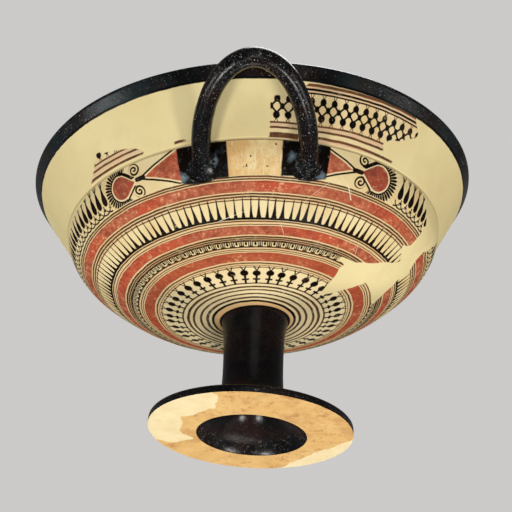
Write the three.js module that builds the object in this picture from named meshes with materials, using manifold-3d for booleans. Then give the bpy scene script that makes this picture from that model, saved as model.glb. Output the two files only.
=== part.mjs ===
// Greek kylix: a stemmed drinking cup, thrown and fired as one piece of clay.
// Millimetres, +Z up. The foot rests on z = 0; the bowl and stem lean a little on the foot.
import * as THREE from 'three';
import { mergeVertices } from 'three/addons/utils/BufferGeometryUtils.js';
import Module from 'manifold-3d';

const wasm = await Module();
wasm.setup();

// ---- driving dimensions (mm, degrees) ----
const FOOT_R = 42.5;             // foot disc, outer radius
const FOOT_EDGE_H = 2.8;         // height of the foot's upright edge
const STEM_R = 12.8;             // stem at its narrowest
const STEM_NARROW_Z = 31;
const STEM_TOP_R = 14.4;         // stem where it meets the bowl
const HOLE_R = 23.1;             // mouth of the hollow under the foot
const HOLE_OFF = [0.6, 3.65];    // that mouth's centre, off the foot's centre
const HOLLOW_TOP_Z = 40;         // blind end of the hollow in the stem
const AXIS_FOOT = [-1.5, 0];     // where the bowl's axis passes the height below
const AXIS_Z = 55.25;
const LEAN_X = 4.37;             // the bowl's axis leans this far toward -X
const LEAN_Y = 0.82;             // and this far toward +Y
const CARINATION = [82.5, 89.3]; // angle between bowl and lip: radius, height
const RIM = [97.9, 114.6];       // outer edge of the lip
const LIP_T = 3.0;
const HANDLE_R = 3.9;            // handle tube radius
const HANDLE_FLARE = 0.34;       // the tube widens by this share at its roots
const HANDLE_ROOT = [78.2, 80.8];// tube's centre at the bowl: radius, height
const HANDLE_HALF = [20.6, 21.0];// half spacing of the legs: at the roots, at the shoulder
const HANDLE_REACH = 47.6;       // roots to apex, along the handle's plane
const HANDLE_LEG = 7.9;          // straight part of each leg
const HANDLE_CANT = 25;          // upward cant of the handle's plane
const HANDLE_AZ = -1.25;         // the near handle's middle, off -Y
const HANDLE_ROLL = -1.5;
const SEG_BOWL = 72, SEG_STEM = 44, SEG_TUBE = 10;

// ---- frames ----
const nAxis = new THREE.Vector3(-Math.tan(THREE.MathUtils.degToRad(LEAN_X)), Math.tan(THREE.MathUtils.degToRad(LEAN_Y)), 1).normalize();
const uAxis = new THREE.Vector3(1, 0, 0).addScaledVector(nAxis, -nAxis.x).normalize();
const vAxis = new THREE.Vector3().crossVectors(nAxis, uAxis);
const pivot = new THREE.Vector3(AXIS_FOOT[0], AXIS_FOOT[1], AXIS_Z);
// a lathe turns about its local Y: local Y goes to the bowl's axis
const bowlFrame = new THREE.Matrix4().makeBasis(uAxis, nAxis, vAxis.clone().negate())
  .setPosition(pivot.clone().addScaledVector(nAxis, -AXIS_Z));
const footFrame = new THREE.Matrix4().makeBasis(new THREE.Vector3(1, 0, 0), new THREE.Vector3(0, 0, 1), new THREE.Vector3(0, -1, 0));

const V2 = (r, z) => new THREE.Vector2(r, z);
// a smooth profile through its stations
const smooth = (stations, n) => new THREE.SplineCurve(stations.map(([r, z]) => V2(r, z))).getSpacedPoints(n);

// ---- profiles (radius, height) ----
// outside of the bowl, from the stem out to the carination
export const bowlOutside = smooth([[STEM_TOP_R, 50.7], [19.5, 52.1], [30.9, 53.3], [45.9, 57.4], [58.3, 62.6], [73.0, 73.7], [79.5, 81.6], CARINATION], 14);
// straight flaring lip with a round edge
const lipOutside = [V2(90.3, 102.2), V2(94.6, 109.2), V2(RIM[0], RIM[1]), V2(RIM[0] - 0.4, RIM[1] + 0.8), V2(RIM[0] - LIP_T / 2, RIM[1] + 1.15), V2(RIM[0] - LIP_T + 0.35, RIM[1] + 0.75)];
const cavityWall = [
  V2(RIM[0] - LIP_T, RIM[1]), V2(90.9, 108.2), V2(79.2, 89.9),
  ...smooth([[78.4, 87.6], [75.2, 81.0], [69.0, 74.3], [56.5, 66.2], [44.2, 61.0], [29.5, 58.0], [12, 57.2]], 9),
];
const footOutside = [
  V2(FOOT_R, 0), V2(FOOT_R, FOOT_EDGE_H), V2(FOOT_R - 0.9, FOOT_EDGE_H + 0.6),
  ...smooth([[34, 5.2], [26, 7.3], [19, 9.6], [15, 12.4], [13.4, 16.5], [STEM_R + 0.1, 23], [STEM_R, STEM_NARROW_Z], [13.0, 40], [13.5, 46], [STEM_TOP_R, 50.7]], 12),
];
const hollowWall = [V2(HOLE_R, 0), V2(22.3, 1.3), ...smooth([[20.5, 3.2], [15.2, 6.4], [10.6, 11], [8.2, 18], [7.0, 27], [6.2, 35]], 8)];

// ---- solids ----
function toManifold(geometry) {
  let g = geometry.index ? geometry : geometry.clone();
  g = g.clone();
  for (const name of Object.keys(g.attributes)) if (name !== 'position') g.deleteAttribute(name);
  g = mergeVertices(g, 1e-4);
  const src = g.index.array, tri = [];
  for (let i = 0; i < src.length; i += 3) {
    const [a, b, c] = [src[i], src[i + 1], src[i + 2]];
    if (a !== b && b !== c && a !== c) tri.push(a, b, c);
  }
  const solid = new wasm.Manifold(new wasm.Mesh({ numProp: 3, vertProperties: new Float32Array(g.attributes.position.array), triVerts: new Uint32Array(tri) }));
  return solid;
}

function lathe(profile, segments, frame) {
  const g = new THREE.LatheGeometry(profile, segments);
  g.deleteAttribute('uv');
  g.deleteAttribute('normal');
  g.applyMatrix4(frame);
  // faces point out: the profile runs up the outside, so check the signed volume
  const merged = mergeVertices(g, 1e-4);
  const p = merged.attributes.position, ix = merged.index;
  let vol = 0;
  const a = new THREE.Vector3(), b = new THREE.Vector3(), c = new THREE.Vector3();
  for (let i = 0; i < ix.count; i += 3) {
    a.fromBufferAttribute(p, ix.getX(i)); b.fromBufferAttribute(p, ix.getX(i + 1)); c.fromBufferAttribute(p, ix.getX(i + 2));
    vol += a.dot(b.cross(c));
  }
  if (vol < 0) for (let i = 0; i < ix.count; i += 3) { const t = ix.getX(i + 1); ix.setX(i + 1, ix.getX(i + 2)); ix.setX(i + 2, t); }
  return merged;
}

// bowl, filled: the cavity is cut from it once everything is joined
const bowlSolid = toManifold(lathe([V2(0, 50.2), V2(STEM_TOP_R - 2, 50.2), ...bowlOutside, ...lipOutside, V2(0, RIM[1] + 0.75)], SEG_BOWL, bowlFrame));

// foot and stem turn about the foot's axis, and the stem leans over to the bowl's axis
const leanStart = 10;
function leaned(geometry) {
  const p = geometry.attributes.position;
  for (let i = 0; i < p.count; i++) {
    const k = Math.max(0, (p.getZ(i) - leanStart) / (AXIS_Z - leanStart));
    p.setX(i, p.getX(i) + pivot.x * k);
    p.setY(i, p.getY(i) + pivot.y * k);
  }
  return geometry;
}
const footSolid = toManifold(leaned(lathe([V2(0, 0), ...footOutside, V2(STEM_TOP_R, 53.6), V2(0, 53.6)], SEG_STEM, footFrame)));
const hollow = lathe([V2(0, -3), V2(HOLE_R, -3), ...hollowWall, V2(4.4, HOLLOW_TOP_Z - 1.6), V2(0, HOLLOW_TOP_Z)], SEG_STEM, footFrame);
{
  // the mouth lies off centre and the hollow works back to the stem's axis higher up
  const p = hollow.attributes.position;
  for (let i = 0; i < p.count; i++) {
    const k = Math.min(1, Math.max(0, p.getZ(i) / 14));
    p.setX(i, p.getX(i) + HOLE_OFF[0] * (1 - k));
    p.setY(i, p.getY(i) + HOLE_OFF[1] * (1 - k));
  }
}
const hollowSolid = toManifold(leaned(hollow));
const cavitySolid = toManifold(lathe([V2(0, RIM[1] + 9), V2(RIM[0] - LIP_T + 5.4, RIM[1] + 9), ...cavityWall, V2(0, 57.0)], SEG_BOWL, bowlFrame));

// handle: a round tube bent into a horseshoe, canted up, its ends buried in the bowl's wall
function handle(turn) {
  const az = THREE.MathUtils.degToRad(HANDLE_AZ + turn), cant = THREE.MathUtils.degToRad(HANDLE_CANT), roll = THREE.MathUtils.degToRad(HANDLE_ROLL);
  const out = uAxis.clone().multiplyScalar(Math.sin(az)).addScaledVector(vAxis, -Math.cos(az));
  const across = uAxis.clone().multiplyScalar(Math.cos(az)).addScaledVector(vAxis, Math.sin(az));
  const reach = out.clone().multiplyScalar(Math.cos(cant)).addScaledVector(nAxis, Math.sin(cant));
  const side = across.clone().multiplyScalar(Math.cos(roll)).addScaledVector(nAxis, Math.sin(roll));
  const base = pivot.clone().addScaledVector(nAxis, HANDLE_ROOT[1] - AXIS_Z)
    .addScaledVector(out, Math.sqrt(HANDLE_ROOT[0] ** 2 - HANDLE_HALF[0] ** 2));
  const half = [];
  const at = (b, h) => base.clone().addScaledVector(reach, b).addScaledVector(side, h);
  const spots = [[-4.5, HANDLE_HALF[0]], [-1, HANDLE_HALF[0]], [HANDLE_LEG * 0.5, HANDLE_HALF[0] + 0.7 * (HANDLE_HALF[1] - HANDLE_HALF[0])]];
  for (let i = 0; i <= 7; i++) {
    const a = (i / 8) * Math.PI / 2;
    spots.push([HANDLE_LEG + (HANDLE_REACH - HANDLE_LEG) * Math.sin(a), HANDLE_HALF[1] * Math.cos(a)]);
  }
  for (const [b, h] of spots) half.push([b, h]);
  const line = [...half.map(([b, h]) => at(b, -h)), at(HANDLE_REACH, 0), ...half.slice().reverse().map(([b, h]) => at(b, h))];
  const path = new THREE.CatmullRomCurve3(line, false, 'centripetal');
  const section = new THREE.Shape();
  for (let i = 0; i < SEG_TUBE; i++) {
    const a = (i / SEG_TUBE) * 2 * Math.PI;
    const x = HANDLE_R * Math.cos(a), y = HANDLE_R * Math.sin(a);
    if (i) section.lineTo(x, y); else section.moveTo(x, y);
  }
  section.closePath();
  const steps = 30;
  const g = new THREE.ExtrudeGeometry(section, { steps, bevelEnabled: false, extrudePath: path, curveSegments: 1 });
  // roots widen where the clay was smoothed on to the bowl
  const samples = path.getSpacedPoints(steps), length = path.getLength();
  const p = g.attributes.position, v = new THREE.Vector3();
  for (let i = 0; i < p.count; i++) {
    v.fromBufferAttribute(p, i);
    let best = 0, bd = 1e9;
    samples.forEach((c, k) => { const d = c.distanceToSquared(v); if (d < bd) { bd = d; best = k; } });
    const along = (Math.min(best, steps - best) / steps) * length;
    const grow = 1 + HANDLE_FLARE * Math.exp(-((along / 6.5) ** 2));
    v.sub(samples[best]).multiplyScalar(grow).add(samples[best]);
    p.setXYZ(i, v.x, v.y, v.z);
  }
  return toManifold(g);
}

const fused = bowlSolid.add(footSolid).add(handle(0)).add(handle(180));
const cup = fused.subtract(cavitySolid).subtract(hollowSolid);

// ---- back to three.js, with the origin under the middle of the whole cup ----
const mesh = cup.getMesh();
const geometry = new THREE.BufferGeometry();
geometry.setAttribute('position', new THREE.BufferAttribute(new Float32Array(mesh.vertProperties), 3));
geometry.setIndex(new THREE.BufferAttribute(new Uint32Array(mesh.triVerts), 1));
geometry.computeBoundingBox();
const { min, max } = geometry.boundingBox;
geometry.translate(-(min.x + max.x) / 2, -(min.y + max.y) / 2, -min.z);
geometry.computeVertexNormals();

const clay = new THREE.MeshStandardMaterial({ color: 0xd8a878, roughness: 0.45, metalness: 0 });
const kylix = new THREE.Mesh(geometry, clay);
kylix.name = 'kylix';

const group = new THREE.Group();
group.name = 'greek_kylix';
group.add(kylix);
export default group;
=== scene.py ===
import bpy
import math
import numpy as np
from mathutils import Matrix, Vector


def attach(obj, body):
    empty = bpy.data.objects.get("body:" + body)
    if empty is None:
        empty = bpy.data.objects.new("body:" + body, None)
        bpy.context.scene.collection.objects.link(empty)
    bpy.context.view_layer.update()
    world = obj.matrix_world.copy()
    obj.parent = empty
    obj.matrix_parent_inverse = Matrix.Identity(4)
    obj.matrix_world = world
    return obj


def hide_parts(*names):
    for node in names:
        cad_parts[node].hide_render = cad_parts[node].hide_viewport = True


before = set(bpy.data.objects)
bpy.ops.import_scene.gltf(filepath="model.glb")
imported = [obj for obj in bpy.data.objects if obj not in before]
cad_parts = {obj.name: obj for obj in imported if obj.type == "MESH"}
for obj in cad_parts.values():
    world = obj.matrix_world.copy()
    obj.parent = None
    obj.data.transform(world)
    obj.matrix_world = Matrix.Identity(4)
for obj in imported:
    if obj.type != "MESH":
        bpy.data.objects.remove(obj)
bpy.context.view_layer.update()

# ---------------------------------------------------------------- frames (mm)
FOOT_AXIS = np.array([6.02183, -0.57890])
PIVOT = np.array([4.52183, -0.57890, 55.25])
LEAN_X, LEAN_Y = math.radians(4.37), math.radians(0.82)
N = np.array([-math.tan(LEAN_X), math.tan(LEAN_Y), 1.0])
N /= np.linalg.norm(N)
U = np.array([1.0, 0, 0]) - N[0] * N
U /= np.linalg.norm(U)
V = np.cross(N, U)


def bowl_point(r, z, t):
    """r, z and the angle t (radians, 0 on the near side) on the leaning bowl."""
    r, z, t = np.broadcast_arrays(r, z, t)
    return (PIVOT + (z[..., None] - 55.25) * N + (r * np.sin(t))[..., None] * U
            - (r * np.cos(t))[..., None] * V)


def catmull(pts, per=24):
    """Uniform Catmull-Rom through the stations."""
    p = np.array(pts, float)
    n = len(p)
    out = []
    for i in range(n - 1):
        p0, p1, p2, p3 = p[max(i - 1, 0)], p[i], p[i + 1], p[min(i + 2, n - 1)]
        w = np.linspace(0, 1, per, endpoint=False)[:, None]
        v0, v1 = (p2 - p0) * 0.5, (p3 - p1) * 0.5
        out.append((2 * p1 - 2 * p2 + v0 + v1) * w ** 3
                   + (-3 * p1 + 3 * p2 - 2 * v0 - v1) * w ** 2 + v0 * w + p1)
    out.append(p[-1:])
    return np.concatenate(out)


def resample(line, step):
    """Points evenly along a line, about step apart, and how far along each is."""
    line = np.array(line, float)
    d = np.concatenate([[0], np.cumsum(np.linalg.norm(np.diff(line, axis=0), axis=1))])
    m = max(2, int(round(d[-1] / step)) + 1)
    at = np.linspace(0, d[-1], m)
    return np.stack([np.interp(at, d, line[:, k]) for k in range(line.shape[1])], 1)


def arc(centre, radius, a0, a1, n):
    a = np.radians(np.linspace(a0, a1, n))
    return np.stack([centre[0] + radius * np.cos(a), centre[1] + radius * np.sin(a)], 1)


# ---------------------------------------------------------------- profiles (radius, height)
BOWL_OUT = catmull([[14.4, 50.7], [19.5, 52.1], [30.9, 53.3], [45.9, 57.4], [58.3, 62.6],
                    [73.0, 73.7], [79.5, 81.6], [82.5, 89.3]])
LIP_OUT = np.array([[82.5, 89.3], [90.3, 102.2], [94.6, 109.2], [97.85, 114.5]])
LIP_TOP = np.array([[97.85, 114.5], [97.88, 114.95], [97.6, 115.35], [97.1, 115.65], [96.4, 115.72],
                    [95.7, 115.6], [95.2, 115.25], [94.9, 114.6]])
WALL_IN = np.array([[94.9, 114.6], [90.9, 108.2], [79.2, 89.9]])
BOWL_IN = catmull([[78.4, 87.6], [75.2, 81.0], [69.0, 74.3], [56.5, 66.2], [44.2, 61.0],
                   [29.5, 58.0], [12, 57.2]])

SEG = 320
# the carination: a fine groove under the lip
GROOVE = np.array([[82.35, 88.8], [82.12, 89.3], [82.45, 89.85]])


def lathe_rows(parts):
    rows = [parts[0]]
    for p in parts[1:]:
        rows.append(p[1:] if np.allclose(p[0], rows[-1][-1]) else p)
    return np.concatenate(rows)


out_rows = resample(BOWL_OUT, 0.78)[:-1]
out_rows = out_rows[out_rows[:, 1] < 88.6]
profile = lathe_rows([
    np.array([[0, 50.2], [12.4, 50.2]]), out_rows, GROOVE,
    resample(LIP_OUT[:], 0.85)[1:], LIP_TOP, resample(WALL_IN, 2.4),
    resample(BOWL_IN, 2.6), np.array([[0, 57.0]]),
])


def swept(profile, seg, place):
    """A closed turned solid: profile from axis to axis, place(r, z, t) gives the points."""
    inner = profile[1:-1]
    t = np.linspace(-math.pi, math.pi, seg, endpoint=False)
    ring = place(inner[:, 0][:, None], inner[:, 1][:, None], t[None, :])
    v = [place(np.array([profile[0, 0]]), np.array([profile[0, 1]]), np.array([0.0]))[0]]
    v = np.concatenate([np.array(v), ring.reshape(-1, 3),
                        place(np.array([profile[-1, 0]]), np.array([profile[-1, 1]]), np.array([0.0]))])
    m = len(inner)
    faces = []
    for j in range(seg):
        k = (j + 1) % seg
        faces.append((0, 1 + k, 1 + j))
        faces.append((len(v) - 1, 1 + (m - 1) * seg + j, 1 + (m - 1) * seg + k))
    for i in range(m - 1):
        a, b = 1 + i * seg, 1 + (i + 1) * seg
        for j in range(seg):
            k = (j + 1) % seg
            faces.append((a + j, a + k, b + k, b + j))
    return v, faces


def solid(name, v, faces):
    me = bpy.data.meshes.new(name)
    me.from_pydata((np.asarray(v) * 0.001).tolist(), [], faces)
    me.update()
    ob = bpy.data.objects.new(name, me)
    bpy.context.scene.collection.objects.link(ob)
    import bmesh
    bm = bmesh.new()
    bm.from_mesh(me)
    bmesh.ops.recalc_face_normals(bm, faces=bm.faces)
    bm.to_mesh(me)
    bm.free()
    return ob


def wobble(t, seed, amp):
    """A slow unevenness round the wheel-thrown wall."""
    return amp * (np.sin(2 * t + seed) + 0.6 * np.sin(3 * t + 2.1 * seed) + 0.35 * np.sin(5 * t + 0.7 * seed))


def bowl_place(r, z, t):
    r, z, t = np.broadcast_arrays(r, z, t)
    inside = np.clip((r - 20) / 30, 0, 1) * np.clip((96 - r) / 10, 0, 1)
    return bowl_point(r + wobble(t, 0.4, 0.09) * inside - 0.03, z, t)


bowl = solid("bowl", *swept(profile, SEG, bowl_place))

# foot and stem
FOOT_OUT = np.concatenate([
    np.array([[42.46, 0.0], [42.5, 0.5], [42.5, 2.2], [42.42, 2.75], [42.15, 3.12], [41.6, 3.4]]),
    resample(catmull([[41.0, 3.52], [34, 5.2], [26, 7.3], [19, 9.6], [15, 12.4], [13.4, 16.5], [12.9, 23],
                      [12.8, 31], [13.0, 40], [13.5, 46], [14.4, 50.7]]), 0.9)])
HOLLOW = np.concatenate([
    np.array([[23.1, -3.0], [23.1, 0.0], [22.85, 0.6]]),
    resample(catmull([[22.3, 1.3], [20.5, 3.2], [15.2, 6.4], [10.6, 11], [8.2, 18], [7.0, 27], [6.2, 35], [4.4, 38.4]]), 1.3)])


def lean(p):
    k = np.maximum(0, (p[..., 2] - 10) / 45.25)
    p = p.copy()
    p[..., 0] += -1.5 * k + FOOT_AXIS[0]
    p[..., 1] += FOOT_AXIS[1]
    return p


def foot_place(r, z, t):
    r, z, t = np.broadcast_arrays(r, z, t)
    return lean(np.stack([r * np.sin(t), -r * np.cos(t), z], -1))


def hollow_place(r, z, t):
    r, z, t = np.broadcast_arrays(r, z, t)
    k = 1 - np.clip(z / 14, 0, 1)
    return lean(np.stack([r * np.sin(t) + 0.6 * k, -r * np.cos(t) + 3.65 * k, z], -1))


foot = solid("foot", *swept(np.concatenate([[[0, 0]], resample([[1.0, 0], [42.3, 0]], 2.2), FOOT_OUT,
                                            [[14.4, 53.6], [0, 53.6]]]), 192, foot_place))
hollow = solid("hollow", *swept(np.concatenate([[[0, -3]], HOLLOW, [[0, 40]]]), 128, hollow_place))


# handles
def wall_depth(p):
    """Signed distance (mm) of points from the bowl's outer wall, positive outside."""
    q = p - PIVOT
    z = q @ N + 55.25
    r = np.hypot(q @ U, q @ V)
    line = np.concatenate([BOWL_OUT, LIP_OUT[1:]])
    a, b = line[:-1], line[1:]
    ab = b - a
    best = np.full(len(p), 1e9)
    sign = np.ones(len(p))
    for i in range(len(a)):
        w = np.clip(((r - a[i, 0]) * ab[i, 0] + (z - a[i, 1]) * ab[i, 1]) / (ab[i] @ ab[i]), 0, 1)
        dr, dz = r - a[i, 0] - w * ab[i, 0], z - a[i, 1] - w * ab[i, 1]
        d = np.hypot(dr, dz)
        s = np.sign(dr * ab[i, 1] - dz * ab[i, 0])
        better = d < best
        best = np.where(better, d, best)
        sign = np.where(better, s, sign)
    return best * sign


def handle(turn, name):
    az, cant, roll = math.radians(-1.25 + turn), math.radians(25), math.radians(-1.5)
    out = U * math.sin(az) - V * math.cos(az)
    across = U * math.cos(az) + V * math.sin(az)
    reach = out * math.cos(cant) + N * math.sin(cant)
    side = across * math.cos(roll) + N * math.sin(roll)
    base = PIVOT + N * (80.8 - 55.25) + out * math.sqrt(78.2 ** 2 - 20.6 ** 2)
    tip = 47.6 if turn == 0 else 47.45
    half = [(-10.0, 20.6), (-1.0, 20.6), (3.95, 20.88)]
    for i in range(8):
        a = i / 8 * math.pi / 2
        half.append((7.9 + (tip - 7.9) * math.sin(a), 21.0 * math.cos(a)))
    spots = [(b, -h) for b, h in half] + [(tip, 0)] + [(b, h) for b, h in half[::-1]]
    pts = np.array([base + reach * b + side * h for b, h in spots])
    # near the wall the roll of clay turns in, to meet it more squarely
    turn_in = np.cross(side, reach)
    turn_in *= np.sign(turn_in @ N)
    pts += np.array([turn_in * max(0, 9.0 - b) ** 2 * (0.0014 if h < 0 else 0.0082) for b, h in spots])
    # centripetal Catmull-Rom
    ext = np.concatenate([[2 * pts[0] - pts[1]], pts, [2 * pts[-1] - pts[-2]]])
    line = []
    for i in range(len(pts) - 1):
        p0, p1, p2, p3 = ext[i:i + 4]
        k0 = 0.0
        k1 = k0 + np.linalg.norm(p1 - p0) ** 0.5
        k2 = k1 + np.linalg.norm(p2 - p1) ** 0.5
        k3 = k2 + np.linalg.norm(p3 - p2) ** 0.5
        for w in np.linspace(k1, k2, 20, endpoint=False):
            a1 = (k1 - w) / (k1 - k0) * p0 + (w - k0) / (k1 - k0) * p1
            a2 = (k2 - w) / (k2 - k1) * p1 + (w - k1) / (k2 - k1) * p2
            a3 = (k3 - w) / (k3 - k2) * p2 + (w - k2) / (k3 - k2) * p3
            b1 = (k2 - w) / (k2 - k0) * a1 + (w - k0) / (k2 - k0) * a2
            b2 = (k3 - w) / (k3 - k1) * a2 + (w - k1) / (k3 - k1) * a3
            line.append((k2 - w) / (k2 - k1) * b1 + (w - k1) / (k2 - k1) * b2)
    line.append(pts[-1])
    line = resample(line, 0.8)
    HANDLE_LINES.append(line)
    tang = np.gradient(line, axis=0)
    tang /= np.linalg.norm(tang, axis=1)[:, None]
    plane = np.cross(reach, side)
    plane /= np.linalg.norm(plane)
    total = len(line) - 1
    seg = 28
    ang = np.linspace(0, 2 * math.pi, seg, endpoint=False)
    rings = []
    length = 0.8 * total
    for i, (c, t) in enumerate(zip(line, tang)):
        b = np.cross(t, plane)
        b /= np.linalg.norm(b)
        along = min(i, total - i) * 0.8
        lump = 1 + 0.012 * math.sin(i * 0.21 + turn) + 0.008 * math.sin(i * 0.47 + 1.3)
        rad = 3.84 * (1 + (lump - 1) * min(1, along / 16))
        rad = min(rad, 3.85) if along > 25 else rad
        flare = 1 + 0.32 * math.exp(-(max(0, along - 5.5) / 6.5) ** 2) * np.sin(ang) ** 2
        rings.append(c + rad * (np.cos(ang)[:, None] * plane + (flare * np.sin(ang))[:, None] * b))
    rings = np.array(rings)
    # the clay is smoothed on to the wall in a soft fillet
    flat = rings.reshape(-1, 3)
    d = wall_depth(flat)
    centre = np.repeat(line, seg, axis=0)
    outw = flat - centre
    outw /= np.linalg.norm(outw, axis=1)[:, None]
    rho = 2.6
    e = np.where((d < rho), rho - np.sqrt(np.maximum(rho ** 2 - (rho - np.clip(d, 0, rho)) ** 2, 0)), 0)
    q = flat - PIVOT
    q -= (q @ N)[:, None] * N
    q /= np.linalg.norm(q, axis=1)[:, None]
    wall_n = q * 0.77 - N * 0.64
    beside = 1 - np.abs((outw * wall_n).sum(1))          # only the flanks, where tube and wall meet squarely
    flat = flat + outw * (np.minimum(e, 1.5) * np.clip(beside * 1.3, 0, 1))[:, None]
    rings = flat.reshape(rings.shape)
    n = len(rings)
    v = np.concatenate([rings.reshape(-1, 3), [line[0], line[-1]]])
    faces = []
    for i in range(n - 1):
        for j in range(seg):
            k = (j + 1) % seg
            faces.append((i * seg + j, i * seg + k, (i + 1) * seg + k, (i + 1) * seg + j))
    for j in range(seg):
        k = (j + 1) % seg
        faces.append((n * seg, k, j))
        faces.append((n * seg + 1, (n - 1) * seg + j, (n - 1) * seg + k))
    return solid(name, v, faces)


HANDLE_LINES = []
near = handle(0, "near_handle")
far = handle(180, "far_handle")
cavity_profile = np.concatenate([[[0, 130]], [[102, 130], [99.5, 121.5], [94.9, 114.6]],
                                 resample(WALL_IN, 2.4)[1:], resample(BOWL_IN, 2.6), [[0, 57.0]]])


def boolean(target, tool, op):
    m = target.modifiers.new("b", "BOOLEAN")
    m.operation = op
    m.solver = "MANIFOLD"
    m.object = tool
    dg = bpy.context.evaluated_depsgraph_get()
    me = bpy.data.meshes.new_from_object(target.evaluated_get(dg))
    target.modifiers.remove(m)
    old = target.data
    target.data = me
    bpy.data.meshes.remove(old)


# the handles' buried ends are trimmed to the wall's inside before they join the bowl
block = solid("block", *swept(cavity_profile + np.array([1.0, -1.0]) * (cavity_profile[:, :1] > 1), SEG, bowl_place))
for h in (near, far):
    boolean(h, block, "DIFFERENCE")
boolean(bowl, foot, "UNION")
boolean(bowl, near, "UNION")
boolean(bowl, far, "UNION")
boolean(bowl, hollow, "DIFFERENCE")
for o in (foot, near, far, hollow, block):
    me = o.data
    bpy.data.objects.remove(o)
    bpy.data.meshes.remove(me)
cup = bowl
cup.name = "kylix_cup"
cup.data.name = "kylix_cup"
print("faces", len(cup.data.polygons), "triangles", sum(len(p.vertices) - 2 for p in cup.data.polygons))

# ---------------------------------------------------------------- where each point lies on the outside
OUT_LINE = np.concatenate([BOWL_OUT, LIP_OUT[1:], LIP_TOP[1:5]])
OUT_LEN = np.concatenate([[0], np.cumsum(np.linalg.norm(np.diff(OUT_LINE, axis=0), axis=1))])


def on_outside(p):
    """For points (mm): arc length from the stem, distance from the outer wall, radius, angle (degrees)."""
    q = p - PIVOT
    z = q @ N + 55.25
    x, y = q @ U, -(q @ V)
    r = np.hypot(x, y)
    best, s = np.full(len(p), 1e9), np.zeros(len(p))
    for a, b, l0 in zip(OUT_LINE[:-1], OUT_LINE[1:], OUT_LEN[:-1]):
        ab = b - a
        L2 = ab @ ab
        if L2 < 1e-12:
            continue
        w = np.clip(((r - a[0]) * ab[0] + (z - a[1]) * ab[1]) / L2, 0, 1)
        d = np.hypot(r - a[0] - w * ab[0], z - a[1] - w * ab[1])
        near_ = d < best
        best = np.where(near_, d, best)
        s = np.where(near_, l0 + w * math.sqrt(L2), s)
    return s, best, r, z, np.degrees(np.arctan2(x, y))


def radius_at(s):
    return np.interp(s, OUT_LEN, OUT_LINE[:, 0])


def poly_depth(x, y, poly):
    """Distance to a closed outline, positive inside."""
    poly = np.asarray(poly, float)
    best = np.full(len(x), 1e9)
    inside = np.zeros(len(x), bool)
    for (x0, y0), (x1, y1) in zip(poly, np.roll(poly, -1, axis=0)):
        dx, dy = x1 - x0, y1 - y0
        w = np.clip(((x - x0) * dx + (y - y0) * dy) / (dx * dx + dy * dy + 1e-12), 0, 1)
        best = np.minimum(best, np.hypot(x - x0 - w * dx, y - y0 - w * dy))
        if y0 != y1:
            hit = ((y0 > y) != (y1 > y)) & (x < (y - y0) / (y1 - y0) * dx + x0)
            inside ^= hit
    return np.where(inside, best, -best)


def turned_poly(t, s, poly):
    """The same for an outline of (degrees, mm of arc) stations."""
    poly = np.array(poly, float)
    k = math.pi / 180
    return poly_depth(t * k * radius_at(s), s, np.stack([poly[:, 0] * k * radius_at(poly[:, 1]), poly[:, 1]], 1))


# surviving pieces of the painted lip, in the plastered gap
LIP_PIECES = [
    [(2.8, 82.6), (2.8, 96), (3, 99.9), (7.5, 99.9), (10.5, 103), (12.8, 107), (43.4, 107), (43.9, 105), (46.3, 101),
     (46, 99.3), (43.9, 97.2), (41, 94.3), (38, 93), (35.6, 90), (37, 87.6), (33.2, 86.6), (34.5, 85.7), (41, 85.6),
     (41, 84.4), (22, 83.5), (22, 82.6)],
    [(-55.5, 84.3), (-53, 86.5), (-52.8, 87.2), (-51.3, 89), (-50.8, 90.3), (-50, 91), (-48.9, 92), (-49, 93.2),
     (-47.8, 93.6), (-46.7, 92.8), (-47, 91.5), (-45.8, 91.9), (-44.3, 91.6), (-44, 90.9), (-41, 90.3), (-38.5, 89.2),
     (-35.6, 87.8), (-34.8, 87.1), (-33, 85.5), (-32.8, 84.3)],
    [(-24, 84.3), (-23.4, 85.7), (-21, 85.9), (-19, 84.4)],
    [(150, 83), (152, 89), (147, 95), (150, 101), (154, 107), (176, 107), (177, 101), (173, 96), (175, 90), (171, 86), (172, 83)],
    [(-128, 83), (-127, 88), (-131, 92), (-126, 97), (-129, 107), (-108, 107), (-104, 99), (-107, 92), (-102, 83)],
]
# plaster fills that reach into the bowl
FILLS = [
    [(52, 21), (49.8, 25), (48.7, 27.5), (47.5, 30.3), (46, 33), (44.7, 35), (45.5, 37.3), (40.3, 38), (40.3, 40.2),
     (48.5, 40.6), (50.5, 41.5), (52.3, 42.7), (54.5, 43.5), (58, 45.5), (61, 48), (64, 50), (65.8, 51), (68, 52.5),
     (69, 55), (63.5, 58), (62.5, 59.5), (65, 60.5), (66.5, 62), (66.5, 69), (65.5, 70.5), (67, 72.5), (65, 75),
     (62.5, 78), (60.5, 81), (57, 82.8), (57, 86), (91, 86), (91, 84), (85, 80), (82, 76), (80, 72), (78, 68.5), (76.3, 66.5),
     (77, 61.5), (80, 58), (82, 54), (81, 52), (80, 50.5), (82, 48), (83, 45), (85, 42.5), (87, 40.5), (90, 38.5),
     (88.5, 37.2), (66, 37.3), (66.3, 35.5), (65, 33), (64, 30), (62.5, 28), (61.5, 26.5), (60, 23.5), (57.5, 21), (55, 20.3)],
    [(-58, 86), (-59.5, 82), (-63, 81.3), (-68, 80.8), (-73, 80.2), (-78, 79.3), (-84, 80.4), (-90, 79.5), (-96, 81), (-100, 86)],
    [(118, 86), (120, 80), (124, 76), (123, 70), (127, 64), (131, 66), (130, 72), (134, 77), (137, 86)],
    [(-150, 55), (-146, 50), (-147, 44), (-152, 40), (-156, 44), (-154, 51)],
]

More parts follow.
